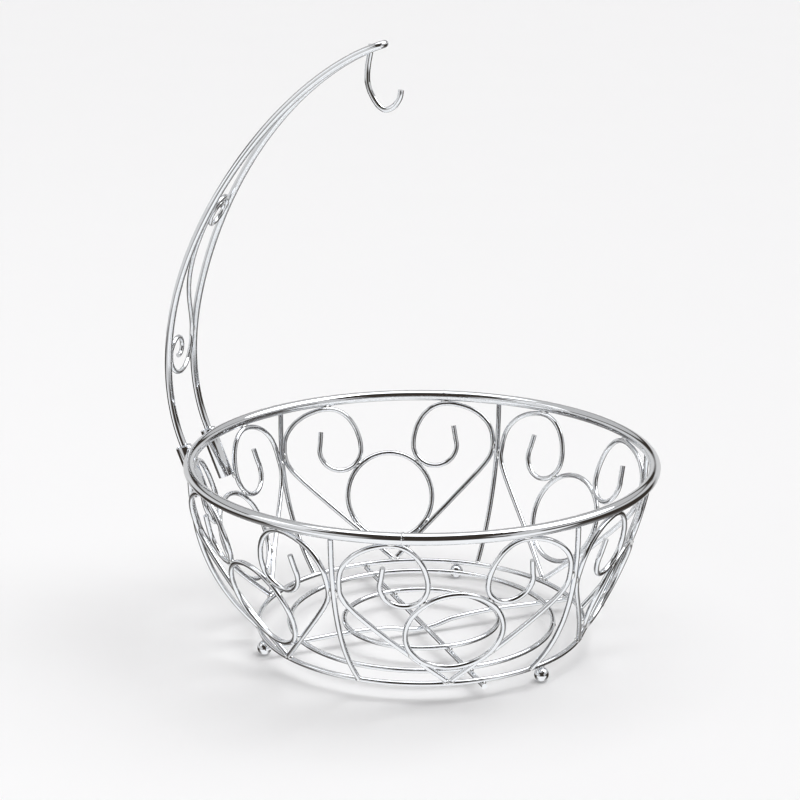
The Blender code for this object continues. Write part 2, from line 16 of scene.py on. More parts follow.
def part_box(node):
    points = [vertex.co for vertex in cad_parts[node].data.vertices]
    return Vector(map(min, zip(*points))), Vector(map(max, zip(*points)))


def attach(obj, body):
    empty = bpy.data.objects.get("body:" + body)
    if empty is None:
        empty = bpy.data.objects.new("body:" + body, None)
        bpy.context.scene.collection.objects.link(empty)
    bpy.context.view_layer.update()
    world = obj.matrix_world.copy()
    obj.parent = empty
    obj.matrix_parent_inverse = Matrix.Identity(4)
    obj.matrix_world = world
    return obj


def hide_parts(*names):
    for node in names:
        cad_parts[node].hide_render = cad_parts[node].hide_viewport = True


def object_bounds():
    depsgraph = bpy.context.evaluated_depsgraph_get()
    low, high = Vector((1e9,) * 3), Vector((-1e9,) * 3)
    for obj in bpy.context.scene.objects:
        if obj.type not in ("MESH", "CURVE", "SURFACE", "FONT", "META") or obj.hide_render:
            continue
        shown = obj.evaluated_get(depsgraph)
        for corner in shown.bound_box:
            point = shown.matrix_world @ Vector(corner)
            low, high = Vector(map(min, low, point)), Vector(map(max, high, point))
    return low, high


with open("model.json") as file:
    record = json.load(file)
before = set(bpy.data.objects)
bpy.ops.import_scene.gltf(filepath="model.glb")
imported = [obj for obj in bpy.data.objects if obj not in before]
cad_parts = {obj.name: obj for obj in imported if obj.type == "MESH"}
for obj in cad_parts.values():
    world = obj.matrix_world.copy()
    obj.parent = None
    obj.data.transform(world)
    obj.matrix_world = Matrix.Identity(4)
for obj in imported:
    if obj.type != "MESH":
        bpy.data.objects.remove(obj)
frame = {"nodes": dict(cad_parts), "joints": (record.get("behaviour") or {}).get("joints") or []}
CAD_LOW, CAD_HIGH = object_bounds()

bl_info = {
    "name": "Wire Fruit Bowl with Hanger",
    "version": (1, 0, 0),
    "blender": (4, 5, 0),
    "location": "View3D > Sidebar > Fruit Bowl",
    "description": "Makes a polished wire fruit bowl with a lift-out hanger, and a studio stage",
    "category": "Add Mesh",
}

# Counts of like pieces
PANELS = 6
FEET = 3

# Upward direction, and the least rise of a normal that faces up
UP = Vector((0.0, 0.0, 1.0))
UPWARD = 0.9

# Reading the CAD wires
MERGE_DISTANCE = 0.000005
CAP_ANGLE = math.radians(68.0)
BORE_SHARE = 0.9

# Smoothness of the finished pieces
WIRE_SIDE_STEPS = 8
WIRE_LENGTH_STEPS = 8
RING_STEPS = 240
RING_SIDES = 28
PANEL_RING_STEPS = 120
PANEL_RING_SIDES = 20
BALL_SEGMENTS = 48
BALL_RINGS = 32
SOCKET_SEGMENTS = 48
BEAD_SEGMENTS = 20
BEAD_RINGS = 14
SMOOTH_ANGLE = math.radians(40.0)

# Cut ends and edges; the end of a wire has more corners than the faces of its sides
SIDE_CORNERS = 4
END_ROUNDING = 0.30
END_ROUNDING_STEPS = 4
MOUTH_ROUNDING = 0.0003
MOUTH_ROUNDING_STEPS = 3

# Level rings: CAD node, piece, and the turns of the butt welds in degrees
LEVEL_RINGS = (
    ("rim_ring", "rim_tube", (13.2, 191.2)),
    ("base_ring", "base_tube", (170.0,)),
    ("floor_ring_outer", "floor_tube_outer", (100.0,)),
    ("floor_ring_inner", "floor_tube_inner", (-80.0,)),
)

# Butt welds that close the rings, the turn in degrees
PANEL_RING_SEAM = -38.0
SEAM_REACH = 0.01
SEAM_COLLAR = 0.0004
SEAM_CUTS = (-0.0011, -0.0008, -0.0004, 0.0004, 0.0008, 0.0011)
SEAM_RISE = 0.0003

# Weld beads: length and swell, in radii of the thinner wire
BEADS = {
    "strut_on_rim": (1.3, 1.1),
    "strut_on_base": (1.4, 1.15),
    "scroll_on_strut": (2.1, 1.15),
    "scroll_on_rim": (2.1, 1.1),
    "curl_on_ring": (1.7, 1.1),
    "tail_on_ring": (1.9, 1.1),
    "tail_on_base": (1.5, 1.15),
    "cross_wire_on_ring": (1.3, 1.1),
    "foot_on_base": (4.6, 4.2),
    "socket_on_rim": (1.1, 0.8),
    "scroll_on_socket": (1.7, 1.2),
    "scroll_on_leg": (2.0, 1.0),
    "hook_on_leg": (1.6, 1.1),
}
BEAD_DEPTH = 0.85
SOCKET_BEAD_DEPTH = 0.38
FOOT_BEAD_SHARE = 0.25
BEAD_ROUGHENING = 0.00007
BEAD_SEED = 7
BEAD_PATTERN = "weld_bead_pattern"
CONTACT_ROUNDS = 12
CROSS_STEPS = 40

# Finishes: spread of the roughness, clouds and ripples in a metre, and the ripples' depth
WIRE_PLATE = (0.04, 160.0, 90.0, 0.00002)
FOOT_PLATE = (0.05, 300.0, 260.0, 0.00001)
BEAD_PLATE = (0.16, 900.0, 1400.0, 0.00012)
FOOT_DULLNESS = 0.09
CLOUD_DETAIL = 3.0
RIPPLE_DETAIL = 2.0
CLOUD_SHADES = (0.95, 1.04)

# Camera
CAMERA_PLACE = Vector((0.3783, -1.1897, 0.5175))
CAMERA_AIM = Vector((-0.2953, 0.9132, -0.2806))
CAMERA_LENS = 95.8
CAMERA_SENSOR = 36.0

# Stage
AWAY = Vector((CAMERA_AIM.x, CAMERA_AIM.y, 0.0)).normalized()
LIGHT_AIM = Vector((0.0, 0.0, 0.1))
KEY_PLACE = Vector((1.3, 0.6, 1.9))
KEY_SPREAD = math.radians(46.0)
FILL_PLACE = Vector((-1.6, -1.2, 1.4))
FILL_SIZE = 1.4
FLOOR_HALF = 8.0
FLOOR_ROUGHNESS = 0.75
FLOOR_SHEEN = 0.2
FLOOR_CLOUDS = 6.0
FLOOR_SHADE = 0.99
CLIP_FAR = 40.0

# Lit zones of the surround: strength, and the direction, start and full reach of each soft edge
ZONES = {
    "ceiling_edge": (0.26, ("up", 0.40, 0.46)),
    "ceiling": (0.74, ("up", 0.86, 0.90)),
    "floor_edge": (0.16, ("up", -0.45, -0.90)),
    "floor_middle": (0.32, ("up", -0.80, -0.94)),
    "far_wall": (0.32, ("away", 0.70, 0.84), ("up", 0.34, 0.26)),
    "near_ceiling": (1.0, ("up", 0.93, 0.97)),
    "near_floor": (0.50, ("up", -0.18, -0.32)),
    "near_card": (0.26, ("across", 0.62, 0.66), ("across", 0.84, 0.80)),
    "near_side": (1.0, ("away", -0.16, -0.26)),
    "left_card": (0.34, ("across", -0.34, -0.60), ("up", -0.24, -0.10), ("up", 0.36, 0.22)),
    "right_card": (0.30, ("across", 0.42, 0.62), ("up", 0.04, 0.12), ("up", 0.42, 0.32)),
}


# Sizes and colours

class BowlSettings(bpy.types.PropertyGroup):
    """Sizes and colours of the bowl and its hanger."""

    chrome_colour: bpy.props.FloatVectorProperty(
        name="Chrome Colour",
        description="Colour of the plated wire",
        default=(0.86, 0.88, 0.91),
        min=0.0,
        max=1.0,
        subtype="COLOR",
    )
    bead_colour: bpy.props.FloatVectorProperty(
        name="Weld Colour",
        description="Colour of the plated weld beads",
        default=(0.88, 0.89, 0.9),
        min=0.0,
        max=1.0,
        subtype="COLOR",
    )
    chrome_roughness: bpy.props.FloatProperty(
        name="Chrome Roughness",
        description="Mean roughness of the plated wire",
        default=0.035,
        min=0.0,
        max=1.0,
        subtype="FACTOR",
    )
    bead_roughness: bpy.props.FloatProperty(
        name="Weld Roughness",
        description="Mean roughness of the weld beads",
        default=0.19,
        min=0.0,
        max=1.0,
        subtype="FACTOR",
    )
    bead_scale: bpy.props.FloatProperty(
        name="Weld Size",
        description="Size of the weld beads against the wires that they join",
        default=1.0,
        min=0.2,
        max=2.0,
        subtype="FACTOR",
    )


class StageSettings(bpy.types.PropertyGroup):
    """Floor, light and reflections of the studio."""

    floor_colour: bpy.props.FloatVectorProperty(
        name="Floor Colour",
        description="Colour of the pale floor",
        default=(0.93, 0.93, 0.94),
        min=0.0,
        max=1.0,
        subtype="COLOR",
    )
    room_colour: bpy.props.FloatVectorProperty(
        name="Room Colour",
        description="Colour of the unlit room that the chrome mirrors as dark lines",
        default=(0.022, 0.018, 0.015),
        min=0.0,
        max=1.0,
        subtype="COLOR",
    )
    world_strength: bpy.props.FloatProperty(
        name="Surround Strength",
        description="Strength of the light from all round",
        default=2.0,
        min=0.0,
        max=10.0,
    )
    key_strength: bpy.props.FloatProperty(
        name="Key Light Strength",
        description="Strength of the broad light from above",
        default=1.4,
        min=0.0,
        max=20.0,
    )
    fill_power: bpy.props.FloatProperty(
        name="Fill Light Power",
        description="Power of the soft light at the side",
        default=5.0,
        min=0.0,
        max=1000.0,
        unit="POWER",
    )


# Materials

class Number:
    """A shader number that adds Math nodes when it is used in a sum."""

    def __init__(self, look, socket):
        self.look = look
        self.socket = socket

    def math(self, operation, first, second):
        node = self.look.node("ShaderNodeMath", {"operation": operation}, {0: first, 1: second})
        return Number(self.look, node.outputs[0])

    def __add__(self, other):
        return self.math("ADD", self, other)

    __radd__ = __add__

    def __sub__(self, other):
        return self.math("SUBTRACT", self, other)

    def __rsub__(self, other):
        return self.math("SUBTRACT", other, self)

    def __mul__(self, other):
        return self.math("MULTIPLY", self, other)

    __rmul__ = __mul__

    def larger(self, other):
        """The larger of two numbers."""
        return self.math("MAXIMUM", self, other)


class Look:
    """A shader tree that is built by calls."""

    def __init__(self, tree):
        self.tree = tree

    def node(self, kind, settings=None, values=None):
        """A node with its settings and then its sockets' values or links."""
        made = self.tree.nodes.new(kind)
        for name, value in (settings or {}).items():
            setattr(made, name, value)
        for name, value in (values or {}).items():
            self.feed(made.inputs[name], value)
        return made

    def feed(self, socket, value):
        """Sets a socket, or links it."""
        if isinstance(value, Number):
            value = value.socket
        if isinstance(value, bpy.types.NodeSocket):
            self.tree.links.new(value, socket)
        else:
            socket.default_value = value

    def noise(self, point, scale, detail):
        """Noise from 0 to 1 on the piece's own coordinates."""
        values = {"Vector": point, "Scale": scale, "Detail": detail}
        return Number(self, self.node("ShaderNodeTexNoise", None, values).outputs["Fac"])

    def ease(self, value, start, end):
        """Smooth rise from 0 at start to 1 at end."""
        settings = {"interpolation_type": "SMOOTHSTEP"}
        values = {"Value": value, "From Min": start, "From Max": end}
        return Number(self, self.node("ShaderNodeMapRange", settings, values).outputs["Result"])

    def mix(self, factor, first, second):
        """Blend of two colours."""
        node = self.node("ShaderNodeMix", {"data_type": "RGBA"}, {0: factor, 6: first, 7: second})
        return node.outputs[2]


def solid(colour, strength=1.0):
    """Colour with full alpha, made lighter or darker."""
    return (colour[0] * strength, colour[1] * strength, colour[2] * strength, 1.0)


def plated(name, colour, roughness, spread, cloud_scale, ripple_scale, ripple_depth):
    """Plated metal with faint clouds in its gloss and a slight ripple."""
    look_data = bpy.data.materials.new(name)
    look_data.use_nodes = True
    look = Look(look_data.node_tree)
    shader = look.tree.nodes["Principled BSDF"]
    point = look.node("ShaderNodeTexCoord").outputs["Object"]
    clouds = look.noise(point, cloud_scale, CLOUD_DETAIL)
    ripple = look.noise(point, ripple_scale, RIPPLE_DETAIL)
    bump = look.node("ShaderNodeBump", None, {"Distance": ripple_depth, "Height": ripple})
    dull, bright = (solid(colour, shade) for shade in CLOUD_SHADES)
    look.feed(shader.inputs["Base Color"], look.mix(clouds, dull, bright))
    look.feed(shader.inputs["Roughness"], roughness + (clouds - 0.5) * spread)
    look.feed(shader.inputs["Normal"], bump.outputs["Normal"])
    shader.inputs["Metallic"].default_value = 1.0
    look_data.diffuse_color = solid(colour)
    return look_data


def finish_of(name):
    """Material of a name, made when it is first asked for."""
    if name in bpy.data.materials:
        return bpy.data.materials[name]
    bowl = bpy.context.scene.bowl_settings
    if name == "weld_bead_plate":
        return plated(name, bowl.bead_colour, bowl.bead_roughness, *BEAD_PLATE)
    if name == "ball_foot_chrome":
        dull = bowl.chrome_roughness + FOOT_DULLNESS
        return plated(name, bowl.chrome_colour, dull, *FOOT_PLATE)
    return plated(name, bowl.chrome_colour, bowl.chrome_roughness, *WIRE_PLATE)


# Reading the CAD model

def merged_body(node):
    """Body of a CAD node with its loose corners joined; the caller frees it."""
    body = bmesh.new()
    body.from_mesh(frame["nodes"][node].data)
    bmesh.ops.remove_doubles(body, verts=body.verts, dist=MERGE_DISTANCE)
    return body


def centre_line(node):
    """Middle of a capped CAD wire, one point for each ring of corners, and its radius."""
    body = merged_body(node)
    sharp = [edge for edge in body.edges if edge.calc_face_angle(0.0) > CAP_ANGLE]
    ring = set(sharp[0].verts)
    grown = True
    while grown:
        touching = [edge for edge in sharp if ring.intersection(edge.verts)]
        more = {vert for edge in touching for vert in edge.verts} - ring
        ring |= more
        grown = bool(more)
    seen = set(ring)
    points = []
    radius = 0.0
    while ring:
        middle = sum((vert.co for vert in ring), Vector()) / len(ring)
        if not points:
            radius = max((vert.co - middle).length for vert in ring)
        points.append(middle)
        ring = {edge.other_vert(vert) for vert in ring for edge in vert.link_edges} - seen
        seen |= ring
    body.free()
    return points, radius


def sorted_down(points):
    """Points of a wire, starting from its upper end."""
    return points if points[0].z > points[-1].z else points[::-1]


def ring_middle(node):
    """Middle, main radius and wire radius of a level CAD ring."""
    low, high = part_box(node)
    middle = (low + high) / 2
    corners = np.array([tuple(vert.co) for vert in frame["nodes"][node].data.vertices])
    reach = np.hypot(corners[:, 0] - middle.x, corners[:, 1] - middle.y)
    inner, outer = float(reach.min()), float(reach.max())
    return middle, (outer + inner) / 2, (outer - inner) / 2


def level_circle(node):
    """Middle line of a level CAD ring, closed, and its wire's radius."""
    middle, radius, wire = ring_middle(node)
    points = []
    for step in range(RING_STEPS + 1):
        angle = 2 * math.pi * step / RING_STEPS
        points.append(middle + Vector((math.sin(angle), math.cos(angle), 0.0)) * radius)
    return points, wire


def leaning_oval(node, wire):
    """Placing matrix, half width and half height of a leaning CAD ring."""
    corners = np.array([tuple(vert.co) for vert in frame["nodes"][node].data.vertices])
    middle = corners.mean(axis=0)
    normal = Vector(np.linalg.svd(corners - middle, full_matrices=False)[2][2])
    wide = UP.cross(normal).normalized()
    tall = normal.cross(wide).normalized()
    halves = []
    for way in (wide, tall):
        reach = (corners - middle) @ np.array(way)
        halves.append(float(reach.max() - reach.min()) / 2 - wire)
    turn = Matrix((wide, tall, wide.cross(tall))).transposed()
    return Matrix.Translation(Vector(middle)) @ turn.to_4x4(), halves[0], halves[1]


def oval_line(node, wire):
    """Middle line of a leaning CAD ring, closed."""
    place, half_width, half_height = leaning_oval(node, wire)
    points = []
    for step in range(PANEL_RING_STEPS + 1):
        angle = 2 * math.pi * step / PANEL_RING_STEPS
        across, along = half_width * math.cos(angle), half_height * math.sin(angle)
        points.append(place @ Vector((across, along, 0.0)))
    return points


# Modelling by operators

def start_alone():
    """Leaves edit mode with nothing selected."""
    if bpy.context.object and bpy.context.object.mode != "OBJECT":
        bpy.ops.object.mode_set(mode="OBJECT")
    bpy.ops.object.select_all(action="DESELECT")


def copy_of(piece):
    """Copy of a piece with a mesh of its own, alone selected."""
    start_alone()
    piece.select_set(True)
    bpy.context.view_layer.objects.active = piece
    bpy.ops.object.duplicate()
    return bpy.context.object


def drop(piece):
    """Deletes a piece that was only there to be copied."""
    start_alone()
    piece.select_set(True)
    bpy.ops.object.delete()


def pick_nothing(kind):
    """Deselects a whole mesh, so that its VERT, EDGE or FACE elements are picked in code."""
    bpy.ops.object.mode_set(mode="EDIT")
    bpy.ops.mesh.select_mode(type=kind)
    bpy.ops.mesh.select_all(action="DESELECT")
    bpy.ops.object.mode_set(mode="OBJECT")


def press_inside(piece):
    """Flattens the hair's breadth by which a rounder wire leaves the CAD model's box."""
    for axis in range(3):
        for limit, way in ((CAD_LOW[axis], -1.0), (CAD_HIGH[axis], 1.0)):
            corners = piece.data.vertices
            proud = [vert.index for vert in corners if (vert.co[axis] - limit) * way > 0.0]
            if not proud:
                continue
            pick_nothing("VERT")
            for index in proud:
                piece.data.vertices[index].select = True
            bpy.ops.object.mode_set(mode="EDIT")
            flat = [1.0, 1.0, 1.0]
            flat[axis] = 0.0
            centre = [0.0, 0.0, 0.0]
            centre[axis] = limit
            bpy.ops.transform.resize(value=flat, center_override=centre)
            bpy.ops.object.mode_set(mode="OBJECT")


def settle(piece, name, finish, slot, body, *nodes):
    """Names a piece, puts its place in its mesh, and joins it to its body."""
    piece.name = name
    piece.data.name = name
    bpy.ops.object.transform_apply(location=True, rotation=True, scale=True)
    press_inside(piece)
    piece.data.materials.clear()
    piece.data.materials.append(finish_of(finish))
    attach(piece, body)
    if nodes:
        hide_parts(*nodes)
    return piece


def draw_wire(points, radius):
    """Round wire drawn through points, as a mesh with rounded ends."""
    start_alone()
    bpy.ops.curve.primitive_bezier_curve_add(enter_editmode=True)
    bpy.ops.curve.select_all(action="SELECT")
    bpy.ops.curve.delete(type="VERT")
    for point in points:
        bpy.ops.curve.vertex_add(location=point)
    bpy.ops.curve.select_all(action="SELECT")
    bpy.ops.curve.handle_type_set(type="AUTOMATIC")
    bpy.ops.object.mode_set(mode="OBJECT")
    wire = bpy.context.object
    wire.data.dimensions = "3D"
    wire.data.resolution_u = WIRE_LENGTH_STEPS
    wire.data.bevel_depth = radius
    wire.data.bevel_resolution = WIRE_SIDE_STEPS
    wire.data.use_fill_caps = True
    bpy.ops.object.convert(target="MESH")
    wire = bpy.context.object
    round_ends(wire, radius)
    return wire


def round_ends(wire, radius):
    """Rounds the edges of both cut ends."""
    bpy.ops.object.mode_set(mode="EDIT")
    bpy.ops.mesh.select_mode(type="VERT")
    bpy.ops.mesh.select_all(action="SELECT")
    bpy.ops.mesh.remove_doubles(threshold=MERGE_DISTANCE)
    bpy.ops.mesh.normals_make_consistent(inside=False)
    pick_nothing("FACE")
    for face in wire.data.polygons:
        face.select = len(face.vertices) > SIDE_CORNERS
    bpy.ops.object.mode_set(mode="EDIT")
    bpy.ops.mesh.bevel(offset=radius * END_ROUNDING, segments=END_ROUNDING_STEPS, affect="EDGES")
    bpy.ops.object.mode_set(mode="OBJECT")
    bpy.ops.object.shade_smooth_by_angle(angle=SMOOTH_ANGLE)


def turn_of(point, middle):
    """Turn of a point round an upright axis."""
    return math.atan2(point.x - middle.x, middle.y - point.y)


def pick_near(ring, middle, seam_turn, half_angle):
    """Selects the part of a ring within an angle of its seam, and enters edit mode."""
    pick_nothing("VERT")
    for vert in ring.data.vertices:
        away = turn_of(ring.matrix_world @ vert.co, middle) - seam_turn
        away = (away + math.pi) % (2 * math.pi) - math.pi
        vert.select = abs(away) < half_angle
    bpy.ops.object.mode_set(mode="EDIT")


def swell_seam(ring, middle, radius, seam):
    """Raises a narrow collar round a ring's wire, where its ends are welded."""
    seam_turn = math.radians(seam)
    way = Vector((math.cos(seam_turn), math.sin(seam_turn), 0.0))
    joint = middle + Vector((math.sin(seam_turn), -math.cos(seam_turn), 0.0)) * radius
    for step in SEAM_CUTS:
        pick_near(ring, middle, seam_turn, SEAM_REACH / radius)
        bpy.ops.mesh.bisect(plane_co=joint + way * step, plane_no=way)
        bpy.ops.object.mode_set(mode="OBJECT")
    pick_near(ring, middle, seam_turn, (SEAM_COLLAR + MERGE_DISTANCE) / radius)
    bpy.ops.transform.shrink_fatten(value=SEAM_RISE)
    bpy.ops.object.mode_set(mode="OBJECT")


def level_ring(node, seams):
    """Level ring of round wire with its butt welds."""
    middle, radius, wire = ring_middle(node)
    start_alone()
    bpy.ops.mesh.primitive_torus_add(
        location=middle,
        major_radius=radius,
        minor_radius=wire,
        major_segments=RING_STEPS,
        minor_segments=RING_SIDES,
    )
    ring = bpy.context.object
    bpy.context.view_layer.update()
    for seam in seams:
        swell_seam(ring, middle, radius, seam)
    bpy.ops.object.shade_smooth()
    return ring


def ring_pattern(half_width, half_height, wire):
    """Flat ring of round wire with its butt weld, from which the panels' rings are copied."""
    start_alone()
    bpy.ops.mesh.primitive_torus_add(
        major_radius=half_width,
        minor_radius=wire,
        major_segments=PANEL_RING_STEPS,
        minor_segments=PANEL_RING_SIDES,
    )
    ring = bpy.context.object
    bpy.context.view_layer.update()
    swell_seam(ring, Vector(), half_width, PANEL_RING_SEAM)
    bpy.ops.object.mode_set(mode="EDIT")
    bpy.ops.mesh.select_all(action="SELECT")
    bpy.ops.transform.resize(value=(1.0, half_height / half_width, 1.0))
    bpy.ops.object.mode_set(mode="OBJECT")
    bpy.ops.object.shade_smooth()
    return ring


# Weld beads

def nearest_on(line, point):
    """Nearest point of a line to a point, with the line's direction there."""
    best = None
    for start, end in zip(line, line[1:]):
        span = end - start
        share = min(max((point - start).dot(span) / span.length_squared, 0.0), 1.0)
        spot = start + span * share
        away = (point - spot).length
        if best is None or away < best[0]:
            best = (away, spot, span.normalized())
    return best


def contact(first, second):
    """Nearest pair of points of two lines, with both directions."""
    pairs = ((nearest_on(second, point)[0], index) for index, point in enumerate(first))
    point = first[min(pairs)[1]]
    for _ in range(CONTACT_ROUNDS):
        spot, second_way = nearest_on(second, point)[1:]
        point, first_way = nearest_on(first, spot)[1:]
    return point, spot, first_way, second_way


def bead_pattern():
    """Round bead of 1 m radius, from which the weld beads are copied and pressed."""
    start_alone()
    bpy.ops.mesh.primitive_uv_sphere_add(segments=BEAD_SEGMENTS, ring_count=BEAD_RINGS, radius=1.0)
    bpy.context.object.name = BEAD_PATTERN


def add_bead(kind, touch, first_radius, second_radius, depth=BEAD_DEPTH):
    """Weld bead at a contact of two wires, lying in the groove between them."""
    length, swell = BEADS[kind]
    point, spot, first_way, second_way = touch
    if first_way.dot(second_way) < 0.0:
        second_way = -second_way
    along = (first_way + second_way).normalized()
    over = (spot - point).normalized()
    along = (along - over * along.dot(over)).normalized()
    side = along.cross(over)
    small = min(first_radius, second_radius)
    scale = bpy.context.scene.bowl_settings.bead_scale
    centre = point.lerp(spot, first_radius / (first_radius + second_radius))
    bead = copy_of(bpy.data.objects[BEAD_PATTERN])
    bead.location = centre
    bead.rotation_euler = Matrix((along, over, side)).transposed().to_euler()
    bead.scale = Vector((length, depth, swell)) * small * scale
    return bead


def join_beads(beads, name, slot, body):
    """Joins weld beads into one piece and roughens them a little."""
    start_alone()
    for bead in beads:
        bead.select_set(True)
    bpy.context.view_layer.objects.active = beads[0]
    bpy.ops.object.transform_apply(location=True, rotation=True, scale=True)
    bpy.ops.object.join()
    piece = bpy.context.object
    bpy.ops.object.mode_set(mode="EDIT")
    bpy.ops.mesh.select_all(action="SELECT")
    bpy.ops.transform.vertex_random(offset=BEAD_ROUGHENING, normal=1.0, seed=BEAD_SEED)
    bpy.ops.object.mode_set(mode="OBJECT")
    bpy.ops.object.shade_smooth()
    return settle(piece, name, "weld_bead_plate", slot, body)


# Operators

class BOWL_OT_level_rings(bpy.types.Operator):
    """Makes the rim, the base ring and the two floor rings."""

    bl_idname = "bowl.level_rings"
    bl_label = "Rim, Base and Floor Rings"

    def execute(self, context):
        for node, name, seams in LEVEL_RINGS:
            level_ring(node, seams)
            settle(context.object, name, "bowl_wire_chrome", "wire", "bowl", node)
        return {"FINISHED"}


class BOWL_OT_wall(bpy.types.Operator):
    """Makes the struts, the scrolls and the rings of the wall."""

    bl_idname = "bowl.wall"
    bl_label = "Wall Panels"

    def execute(self, context):
        # No two panels are quite alike, so each wire is drawn along its own CAD node
        for number in range(1, PANELS + 1):
            for kind in ("strut", "scroll_left", "scroll_right"):
                node = f"{kind}_{number}"
                piece = draw_wire(*centre_line(node))
                settle(piece, f"{kind}_wire_{number}", "bowl_wire_chrome", "wire", "bowl", node)
        wire = centre_line("strut_1")[1]
        width, height = leaning_oval("panel_ring_1", wire)[1:]
        pattern = ring_pattern(width, height, wire)
        for number in range(1, PANELS + 1):
            node = f"panel_ring_{number}"
            place, half_width, half_height = leaning_oval(node, wire)
            ring = copy_of(pattern)
            fit = Matrix.Diagonal((half_width / width, half_height / height, 1.0, 1.0))
            ring.matrix_world = place @ fit
            settle(ring, f"panel_ring_wire_{number}", "bowl_wire_chrome", "wire", "bowl", node)
        drop(pattern)
        return {"FINISHED"}


class BOWL_OT_cross_wires(bpy.types.Operator):
    """Makes the two crossed wires under the floor rings."""

    bl_idname = "bowl.cross_wires"
    bl_label = "Cross Wires"

    def execute(self, context):
        for place in ("upper", "lower"):
            node = f"cross_wire_{place}"
            piece = draw_wire(*centre_line(node))
            settle(piece, f"cross_rod_{place}", "bowl_wire_chrome", "wire", "bowl", node)
        return {"FINISHED"}


class BOWL_OT_feet(bpy.types.Operator):
    """Makes the ball feet, each cut flat underneath."""

    bl_idname = "bowl.feet"
    bl_label = "Ball Feet"

    def execute(self, context):
        low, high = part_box("foot_1")
        radius = (high.x - low.x) / 2
        start_alone()
        bpy.ops.mesh.primitive_uv_sphere_add(
            segments=BALL_SEGMENTS,
            ring_count=BALL_RINGS,
            radius=radius,
            location=(0.0, 0.0, high.z - radius),
        )
        bpy.ops.object.mode_set(mode="EDIT")
        bpy.ops.mesh.select_all(action="SELECT")
        bpy.ops.mesh.bisect(
            plane_co=(0.0, 0.0, low.z),
            plane_no=UP,
            use_fill=True,
            clear_inner=True,
        )
        bpy.ops.object.mode_set(mode="OBJECT")
        bpy.ops.object.shade_smooth_by_angle(angle=SMOOTH_ANGLE)
        pattern = context.object
        for number in range(1, FEET + 1):
            node = f"foot_{number}"
            low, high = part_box(node)
            foot = copy_of(pattern)
            foot.location += Vector(((low.x + high.x) / 2, (low.y + high.y) / 2, 0.0))
            settle(foot, f"ball_foot_{number}", "ball_foot_chrome", "feet", "bowl", node)
        drop(pattern)
        return {"FINISHED"}


class BOWL_OT_sockets(bpy.types.Operator):
    """Makes the two cups that hold the hanger's legs."""

    bl_idname = "bowl.sockets"
    bl_label = "Hanger Sockets"

    def execute(self, context):
        pattern = socket_pattern("socket_front")
        for place in ("front", "rear"):
            node = f"socket_{place}"
            centre, lift, length = socket_sizes(node)[:3]
            cup = copy_of(pattern)
            cup.location = centre + lift * length / 2
            cup.rotation_euler = lift.to_track_quat("Z", "Y").to_euler()
            settle(cup, f"leg_socket_{place}", "bowl_wire_chrome", "sockets", "bowl", node)
        drop(pattern)
        return {"FINISHED"}


def socket_sizes(node):
    """Foot, direction, length, outer radius, bore radius and floor of a CAD cup."""
    lift = Vector(frame["joints"][0]["axis"]).normalized()
    corners = np.array([tuple(vert.co) for vert in frame["nodes"][node].data.vertices])
    along = corners @ np.array(lift)
    foot = along.min()
    length = along.max() - foot
    bottom = corners[along < foot + MERGE_DISTANCE].mean(axis=0)
    centre = Vector(bottom)
    centre -= lift * (centre.dot(lift) - foot)
    away = corners - np.array(centre)
    flat = away - np.outer(away @ np.array(lift), np.array(lift))
    radii = np.linalg.norm(flat, axis=1)
    outer = float(radii.max())
    inside = (along > foot + MERGE_DISTANCE) & (radii > MERGE_DISTANCE)
    inside &= radii < outer * BORE_SHARE
    bore = float(radii[inside].max())
    floor = float(along[inside].min() - foot)
    return centre, lift, float(length), outer, bore, floor


def socket_pattern(node):
    """Upright cup with a bored inside and softened edges."""
    length, outer, bore, floor = socket_sizes(node)[2:]
    start_alone()
    bpy.ops.mesh.primitive_cylinder_add(
        vertices=SOCKET_SEGMENTS,
        radius=outer,
        depth=length,
        end_fill_type="NGON",
    )
    pick_nothing("FACE")
    cup = bpy.context.object
    for face in cup.data.polygons:
        face.select = face.normal.z > UPWARD
    bpy.ops.object.mode_set(mode="EDIT")
    bpy.ops.mesh.inset(thickness=outer - bore)
    bpy.ops.mesh.extrude_region_move(TRANSFORM_OT_translate={"value": (0.0, 0.0, floor - length)})
    pick_nothing("EDGE")
    ends = (length / 2, -length / 2)
    for edge in cup.data.edges:
        first, second = (cup.data.vertices[index].co for index in edge.vertices)
        level = abs(first.z - second.z) < MERGE_DISTANCE
        edge.select = level and min(abs(first.z - end) for end in ends) < MERGE_DISTANCE
    bpy.ops.object.mode_set(mode="EDIT")
    bpy.ops.mesh.bevel(offset=MOUTH_ROUNDING, segments=MOUTH_ROUNDING_STEPS, affect="EDGES")
    bpy.ops.object.mode_set(mode="OBJECT")
    bpy.ops.object.shade_smooth_by_angle(angle=SMOOTH_ANGLE)
    return cup


class BOWL_OT_hanger(bpy.types.Operator):
    """Makes the hanger's legs, its scroll and its hook."""

    bl_idname = "bowl.hanger"
    bl_label = "Hanger"

    def execute(self, context):
        pieces = (
            ("hanger_frame", "hanger_leg_wire"),
            ("hanger_scroll", "hanger_scroll_wire"),
            ("hanger_hook", "hanger_hook_wire"),
        )
        for node, name in pieces:
            piece = draw_wire(*centre_line(node))
            settle(piece, name, "hanger_chrome", "hanger", "hanger", node)
        return {"FINISHED"}


class BOWL_OT_weld_beads(bpy.types.Operator):
    """Makes the weld beads of the wall, the floor, the sockets and the hanger."""

    bl_idname = "bowl.weld_beads"
    bl_label = "Weld Beads"

    def execute(self, context):
        bead_pattern()
        wall_beads()
        floor_beads()
        socket_beads()
        hanger_beads()
        drop(bpy.data.objects[BEAD_PATTERN])
        return {"FINISHED"}


